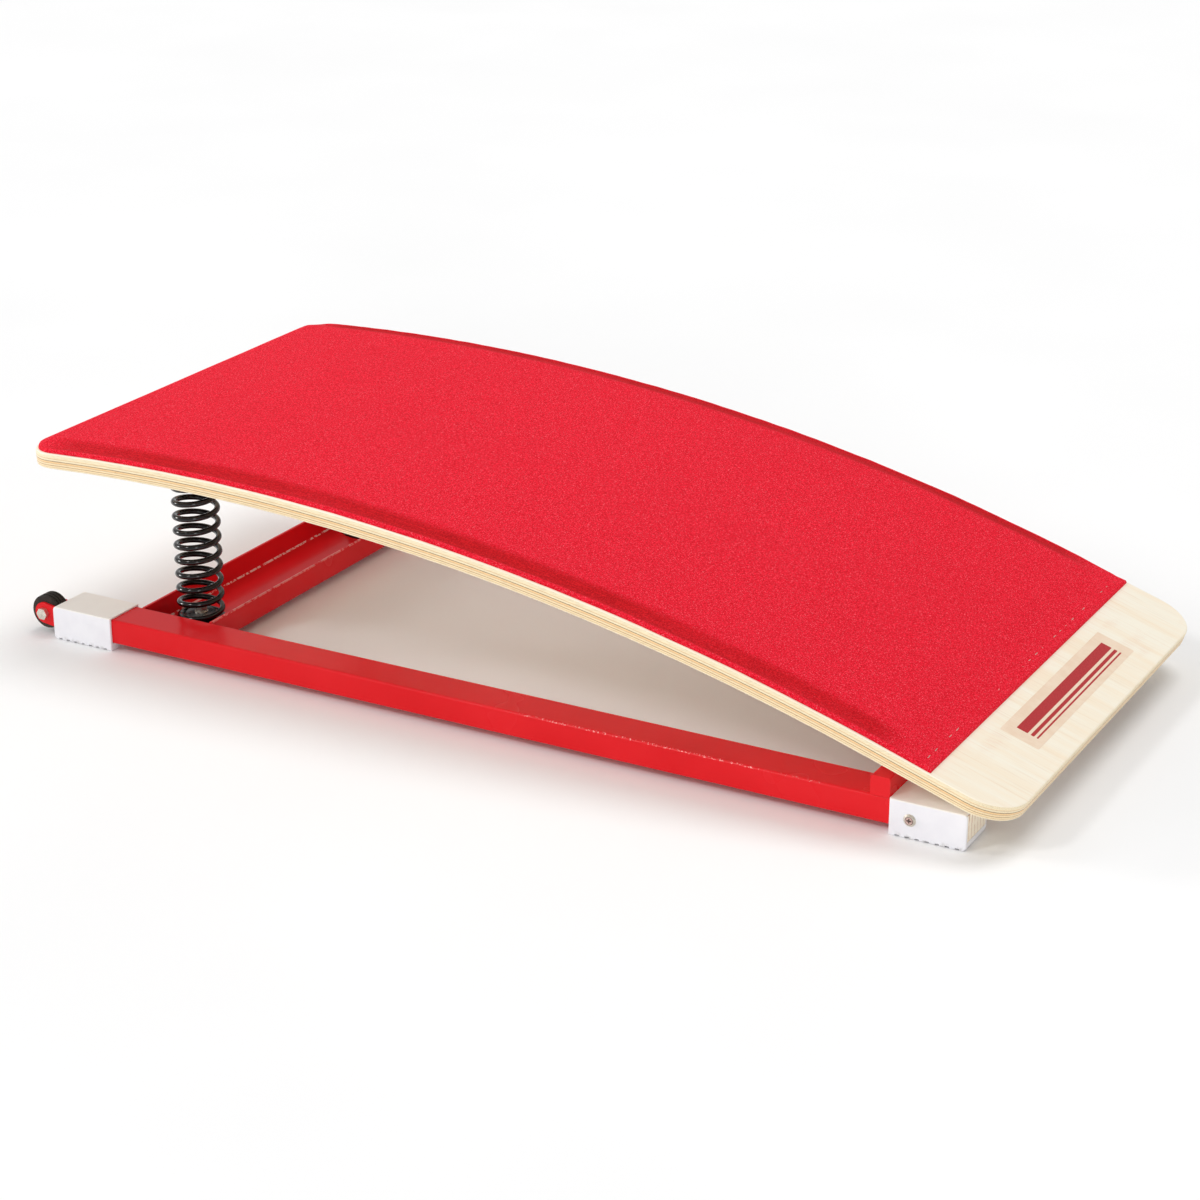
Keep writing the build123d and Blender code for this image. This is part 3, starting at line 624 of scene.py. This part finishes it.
carpet_low, carpet_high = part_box("carpet_cover")
staples_low, staples_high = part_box("carpet_staples")
staples_x = deck.place(0, 0, 0).x + (staples_low.x + staples_high.x) / 2
front_x = staples_x + STAPLE_INSET * math.cos(deck.slope)
rear_x = deck.low.x + 2 * MM
half_width = carpet_high.y
pad_height = carpet_high.z - deck.high.z
staple_pitch = (2 * half_width - 2 * STAPLE_INSET) / STAPLE_COUNT
staple_x = front_x - STAPLE_INSET


def rolled(distance, rounding):
    """Share of the full height that far inside a rounded border."""
    inside = min(max(distance, 0.0), rounding)
    return math.sqrt(max(0.0, 1 - (1 - inside / rounding) ** 2))


def side_distance(x, y):
    """Distance from the long borders and the rounded rear corners."""
    plain = half_width - abs(y)
    behind = REAR_CORNER - (x - rear_x)
    beside = REAR_CORNER - plain
    if behind <= 0 or beside <= 0:
        return min(plain, x - rear_x)
    return REAR_CORNER - math.hypot(behind, beside)


def stretch_and_shade_at(x, y):
    """How far the pile is opened by the pull at the long borders, from 0 to 1; the carpet also lays painted
    shade on that band with it.
    """
    inward = half_width - abs(y)
    rise = ease((inward - 3 * MM) / (3 * MM)) * (1 - ease((inward - 22 * MM) / (14 * MM)))
    from_front = ease((front_x - x - 30 * MM) / (50 * MM))
    from_rear = ease((x - rear_x - 10 * MM) / (60 * MM))
    patchy = 0.90 + 0.3 * noise.noise(Vector((x * 9, y * 30, 3.0)))
    return max(0.0, min(1.0, rise * from_front * from_rear * patchy))


def carpet_height(x, y):
    """The carpet's surface above the wood, without its rounded border."""
    inward = half_width - abs(y)
    side = ease((inward - SIDE_FLAT) / SIDE_RISE)
    rear = ease((x - rear_x) / REAR_RISE)
    front = ease((front_x - x - HEM) / FRONT_RISE)
    height = BORDER + (pad_height - BORDER) * side * rear * front
    lip = math.exp(-(((inward - 3.5 * MM) / (2.5 * MM)) ** 2)) * 0.7 * MM
    uneven = noise.noise(Vector((x * 11, y * 11, 0))) * 0.25 * MM * side
    puckers = noise.noise(Vector((x * 55, y * 4, 9))) * 0.35 * MM * (1 - side) * front
    along = (y + half_width - STAPLE_INSET) / staple_pitch
    to_staple = (along - math.floor(along) - 0.5) * staple_pitch
    spread = math.hypot((x - staple_x) * 1.6, to_staple)
    dimple = math.exp(-((spread / (6.0 * MM)) ** 2)) * 0.7 * MM
    return height + lip * front + uneven + puckers - dimple


def padding_stations(inset, front_inset, step):
    """Stations along the deck: close together over the rounded rear corners and both borders."""
    start, end = rear_x + inset, front_x - front_inset
    radius = REAR_CORNER - inset
    steps = [radius * (1 - math.cos(math.radians(a))) for a in range(0, 91, 6)]
    steps += [ROLL * (1 - math.cos(math.radians(a))) for a in range(15, 91, 15)]
    count = round((end - start - radius - ROLL) / step)
    steps += [radius + (end - start - radius - ROLL) * i / count for i in range(1, count + 1)]
    steps += [end - start - ROLL * (1 - math.cos(math.radians(a))) for a in range(75, -1, -15)]
    kept = []
    for s in sorted(steps):
        if not kept or s - kept[-1] > 0.05 * MM:
            kept.append(s)
    return [start + s for s in kept]


def half_width_at(x, inset):
    """Half the layer's width at a station, narrower over the rounded rear corners."""
    radius = REAR_CORNER - inset
    behind = max(0.0, radius - (x - rear_x - inset))
    return half_width - inset - radius + math.sqrt(max(0.0, radius * radius - behind * behind))


def padding_columns(inset, step):
    """Distances from the long border, from the border to where the middle begins."""
    near = [ROLL * (1 - math.cos(math.radians(a))) for a in range(0, 91, 15)]
    near += [ROLL + i * 2.4 * MM for i in range(1, 16)]
    middle = round((half_width - inset - near[-1]) * 2 / step)
    return near, middle


def padding(name, inset, front_inset, step, top, bottom, waver):
    """A closed layer between two heights above the wood, over the carpet's outline less an inset."""
    stations = padding_stations(inset, front_inset, step)
    near, middle = padding_columns(inset, step)
    rows = []
    for x in stations:
        width = half_width_at(x, inset)
        inner = width - near[-1]
        ys = [-width + c for c in near]
        ys += [-inner + 2 * inner * i / middle for i in range(1, middle)]
        ys += [width - c for c in reversed(near)]
        rows.append([(x, y) for y in ys])
    size = len(rows[0])
    tops, floors, marks = [], [], []
    for row in rows:
        for x, y in row:
            close = math.exp(-side_distance(x, y) / (12 * MM))
            shift = noise.noise(Vector((x * 14, math.copysign(5, y), 1))) * waver * close
            side_y = y + shift * (1 if y > 0 else -1)
            tops.append(deck.place(x, side_y, top(x, y)))
            floors.append(deck.place(x, side_y, bottom(x, y)))
            marks.append(stretch_and_shade_at(x, y))
    total = len(tops)
    faces = strip_faces(len(rows), size, closed=False)
    faces += [tuple(total + i for i in reversed(face)) for face in faces]
    rim = list(range(size))
    rim += [r * size + size - 1 for r in range(1, len(rows))]
    rim += [(len(rows) - 1) * size + c for c in range(size - 2, -1, -1)]
    rim += [r * size for r in range(len(rows) - 2, 0, -1)]
    for i, a in enumerate(rim):
        b = rim[(i + 1) % len(rim)]
        faces.append((b, a, total + a, total + b))
    slot = "carpet" if name == "carpet" else "foam"
    piece = add_piece(name, tops + floors, faces, "deck", slot, finishes[slot])
    layer = piece.data.attributes.new("stretch_and_shade", "FLOAT", "POINT")
    layer.data.foreach_set("value", marks + marks)
    return piece


def carpet_top(x, y):
    distance = min(side_distance(x, y), front_x - x)
    return max(0.35 * MM, carpet_height(x, y) * rolled(distance, ROLL))


def carpet_floor(x, y):
    distance = min(side_distance(x, y), front_x - x)
    return max(0.1 * MM, (carpet_height(x, y) - CARPET_THICK) * rolled(distance, ROLL))


def foam_top(x, y):
    return max(0.4 * MM, carpet_height(x, y) - CARPET_THICK - 0.1 * MM)


def foam_floor(x, y):
    return 0.08 * MM


carpet_piece = padding("carpet", 0.0, 0.0, 5 * MM, carpet_top, carpet_floor, 0.9 * MM)
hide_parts("carpet_cover")
foam_piece = padding("foam_underlay", FOAM_INSET, HEM + 1 * MM, 9 * MM, foam_top, foam_floor, 0.0)
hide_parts("foam_pad")


# ---- Staples ------------------------------------------------------------------------------------

def make_staples():
    """Bent wire staples, pressed a little unevenly into the pile of the hem."""
    picker = random.Random(4)
    crown, wire, leg, bend = 10 * MM, 1.0 * MM, 9 * MM, 1.1 * MM
    shapes = []
    for i in range(STAPLE_COUNT):
        y = -half_width + STAPLE_INSET + staple_pitch * (i + 0.5)
        surface = carpet_height(staple_x, y)
        sunk = picker.uniform(0.45, 1.05) * MM
        turn = math.radians(picker.uniform(-5, 5))
        lean = picker.uniform(-0.07, 0.07)
        half = crown / 2 - wire / 2
        outline = [(-half, -leg), (-half, -leg / 2), (-half, -bend)]
        outline += [
            (-half + bend * (1 - math.cos(a)), -bend + bend * math.sin(a)) for a in (0.5, 1.0, 1.57)
        ]
        outline += [(-v, w) for v, w in reversed(outline)]
        down, out = deck.along(staple_x), deck.normal(staple_x)
        across = Vector((0, 1, 0)) * math.cos(turn) + down * math.sin(turn)
        origin = deck.place(staple_x, y, surface + wire / 2 - sunk)
        path = [origin + across * v + out * (w + v * lean) for v, w in outline]
        shapes.append(tube(path, wire / 2, 10))
    points, faces = join(shapes)
    staples = add_piece("staples", points, faces, "deck", "zinc", finishes["zinc"])
    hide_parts("carpet_staples")


make_staples()


# ---- Springs ------------------------------------------------------------------------------------

SPRING_WIRE = 7.0 * MM
SPRING_PITCH = 18.1 * MM
CLOSED_PITCH = 7.2 * MM       # over the first and last turns
POINTS_PER_TURN = 56
TOP_END = math.radians(-5)    # where the wire ends, seen from above


def make_spring(word):
    """Right-handed coil spring with closed ends; the upper end stops at a set angle seen from above."""
    low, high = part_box(f"spring_{word}")
    wire = SPRING_WIRE / 2
    radius = (high.x - low.x) / 2 - wire
    centre = (low + high) / 2
    height = high.z - low.z - 2 * wire
    closed_turns = 1.5
    turns = (height - closed_turns * CLOSED_PITCH) / SPRING_PITCH + closed_turns
    count = round(turns * POINTS_PER_TURN)
    first = TOP_END - turns * 2 * math.pi
    path = []
    z = low.z + wire
    for i in range(count + 1):
        turn = i / POINTS_PER_TURN
        angle = first + turn * 2 * math.pi
        x, y = centre.x + radius * math.cos(angle), centre.y + radius * math.sin(angle)
        path.append(Vector((x, y, z)))
        from_end = min(turn, turns - turn)
        opening = (SPRING_PITCH - CLOSED_PITCH) * ease((from_end - 0.45) / 0.6)
        z += (CLOSED_PITCH + opening) / POINTS_PER_TURN
    squeeze = height / (path[-1].z - path[0].z)
    for point in path:
        point.z = path[0].z + (point.z - path[0].z) * squeeze
    points, faces = tube(path, wire, 18)
    spring = add_piece(f"coil_{word}", points, faces, "frame", "spring_black", finishes["spring_black"])
    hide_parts(f"spring_{word}")
    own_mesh(spring)


for word, _ in SIDES:
    make_spring(word)


# ---- Weld beads ---------------------------------------------------------------------------------

def weld_bead(start, end, wall, floor, leg, seed):
    """A rippled fillet between two faces that meet along start-end. wall and floor point away from
    the corner along those two faces."""
    picker = random.Random(seed)
    length = (end - start).length
    along = (end - start) / length
    count = max(6, round(length / (0.55 * MM)))
    sides = 9
    points = []
    phase = picker.uniform(0, 6)
    for i in range(count + 1):
        s = length * i / count
        ripple = abs(math.sin(math.pi * s / (2.4 * MM) + phase)) ** 0.6
        taper = min(1.0, 0.45 + 0.55 * ease(min(s, length - s) / (2.5 * MM)))
        size = leg * taper * (0.82 + 0.22 * ripple + 0.08 * noise.noise(Vector((s * 160, seed, 0))))
        centre = start + along * s
        arc = []
        for j in range(sides - 2):
            turn = math.pi / 2 * j / (sides - 3)
            out = wall * math.sin(turn) + floor * math.cos(turn)
            arc.append(centre + out * size * (1 - 0.22 * math.sin(2 * turn)))
        sunk = 0.3 * MM
        points += arc + [centre - floor * sunk + wall * 0.2 * MM, centre - wall * sunk + floor * 0.2 * MM]
    faces = strip_faces(count + 1, sides)
    faces.append(tuple(range(sides)))
    faces.append(tuple(reversed(range(len(points) - sides, len(points)))))
    return points, faces


def add_welds(name, beads):
    shapes = [weld_bead(*bead, seed=i + len(name)) for i, bead in enumerate(beads)]
    points, faces = join(shapes)
    add_piece(name, points, faces, "frame", "red_paint", finishes["red_paint"])


UP, AHEAD, ACROSS = Vector((0, 0, 1)), Vector((1, 0, 0)), Vector((0, 1, 0))


def channel_welds():
    """Inside the channel along its web, and up the outside of both flanges, at each rail."""
    low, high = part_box("rear_channel")
    floor, clear = low.z + CHANNEL_WALL, CHANNEL_WALL + 2 * MM
    for word, side in SIDES:
        y = high.y * side
        inward = ACROSS * -side
        start, end = Vector((low.x + clear, y, floor)), Vector((high.x - clear, y, floor))
        beads = [(start, end, UP, inward, 3.2 * MM)]
        for x, out in ((low.x, -AHEAD), (high.x, AHEAD)):
            foot, top = Vector((x, y, low.z + 4 * MM)), Vector((x, y, high.z - 1 * MM))
            beads.append((foot, top, inward, out, 3.0 * MM))
        add_welds(f"channel_weld_{word}", beads)


def bar_welds():
    """Where the front cross bar stands on the rails."""
    low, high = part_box("front_cross_bar")
    rail_low, rail_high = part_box("side_rail_right")
    for word, side in SIDES:
        near, far = (rail_low.y + 2 * MM) * side, (rail_high.y - 3 * MM) * side
        beads = []
        for x, out in ((low.x + 1 * MM, -AHEAD), (high.x - 1 * MM, AHEAD)):
            ends = (Vector((x, near, low.z)), Vector((x, far, low.z)))
            beads.append((*ends, UP, out, 3.4 * MM))
        add_welds(f"bar_weld_{word}", beads)


def lug_welds():
    """Along both faces of every hinge lug, on top of the cross bar."""
    low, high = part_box("front_cross_bar")
    for word, _ in SIDES:
        box_low, box_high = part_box(f"hinge_lugs_{word}")
        beads = []
        for y, out in ((box_low.y, -ACROSS), (box_high.y, ACROSS)):
            start = Vector((low.x + 2 * MM, y, high.z))
            end = Vector((high.x - 2 * MM, y, high.z))
            beads.append((start, end, UP, out, 2.6 * MM))
        add_welds(f"lug_weld_{word}", beads)


channel_welds()
bar_welds()
lug_welds()


# ---- Label on the nose --------------------------------------------------------------------------

LABEL_LENGTH = 300 * MM
LABEL_WIDTH = 46 * MM
LABEL_FROM_TIP = 29 * MM      # from the nose tip up the slope to the label
BAR_LENGTH = 262 * MM


def rounded_plate(width, length, corner, thickness):
    """A thin plate round the origin of the (down the deck, across) plane, with rounded corners."""
    outline = []
    for sx, sy, first in ((1, 1, 0), (-1, 1, 90), (-1, -1, 180), (1, -1, 270)):
        for step in range(0, 91, 15):
            turn = math.radians(first + step)
            u = sx * (width / 2 - corner) + corner * math.cos(turn)
            v = sy * (length / 2 - corner) + corner * math.sin(turn)
            outline.append((u, v))
    size = len(outline)
    points = [(u, v, 0.0) for u, v in outline] + [(u, v, thickness) for u, v in outline]
    faces = strip_faces(2, size)
    faces += [tuple(reversed(range(size))), tuple(range(size, 2 * size))]
    return points, faces


def on_nose(shape, down, offset):
    """Lays a plate on the middle of the nose, that far up the slope from its tip."""
    points, faces = shape
    tip = deck.high.x
    x = tip - down * math.cos(deck.slope)
    origin = deck.place(x, 0, offset)
    along, normal = deck.along(x), deck.normal(x)
    return [origin + along * u + Vector((0, v, 0)) + normal * w for u, v, w in points], faces


def make_label():
    """A plain label: a pale film with three red bars of different widths. No lettering."""
    middle = LABEL_FROM_TIP + LABEL_WIDTH / 2
    film = on_nose(rounded_plate(LABEL_WIDTH, LABEL_LENGTH, 2 * MM, 0.12 * MM), middle, 0.04 * MM)
    add_piece("label", *film, "deck", "plywood", label_film(), smooth=False)
    bars = []
    for width, up in ((13 * MM, 4.5 * MM), (4 * MM, -7.5 * MM), (2 * MM, -13.5 * MM)):
        plate = rounded_plate(width, BAR_LENGTH, 0.9 * MM, 0.05 * MM)
        bars.append(on_nose(plate, middle + up, 0.17 * MM))
    points, faces = join(bars)
    add_piece("label_bars", points, faces, "deck", "plywood", label_ink(), smooth=False)


make_label()


# ---- Studio -------------------------------------------------------------------------------------

def add_light(name, place, strength, angle):
    """A sun that shines on the middle of the board. angle is its apparent size in degrees."""
    data = bpy.data.lights.new(name, "SUN")
    data.energy = strength
    data.angle = math.radians(angle)
    light = bpy.data.objects.new(name, data)
    light.location = place
    direction = Vector((0, 0, 0.1)) - Vector(place)
    light.rotation_euler = direction.to_track_quat("-Z", "Y").to_euler()
    bpy.context.scene.collection.objects.link(light)


def make_studio():
    reach = 40.0
    mesh = bpy.data.meshes.new("floor")
    corners = [(-reach, -reach, 0), (reach, -reach, 0), (reach, reach, 0), (-reach, reach, 0)]
    mesh.from_pydata(corners, [], [(0, 1, 2, 3)])
    mesh.materials.append(floor_paint())
    floor = bpy.data.objects.new("floor", mesh)
    floor.location.z = -0.2 * MM
    bpy.context.scene.collection.objects.link(floor)

    world = bpy.data.worlds.new("studio")
    world.use_nodes = True
    world.node_tree.nodes["Background"].inputs["Color"].default_value = (1.0, 1.0, 1.0, 1.0)
    world.node_tree.nodes["Background"].inputs["Strength"].default_value = 0.52
    bpy.context.scene.world = world

    add_light("overhead", (0.4, 0.9, 3.0), 1.05, 30)
    add_light("key", (-1.5, -2.2, 2.4), 0.55, 10)
    add_light("front", (1.6, -3.2, 0.9), 0.40, 12)
    add_light("rear_left", (-3.3, -0.9, 1.0), 0.90, 14)
    bpy.context.scene.view_settings.view_transform = "Standard"


make_studio()
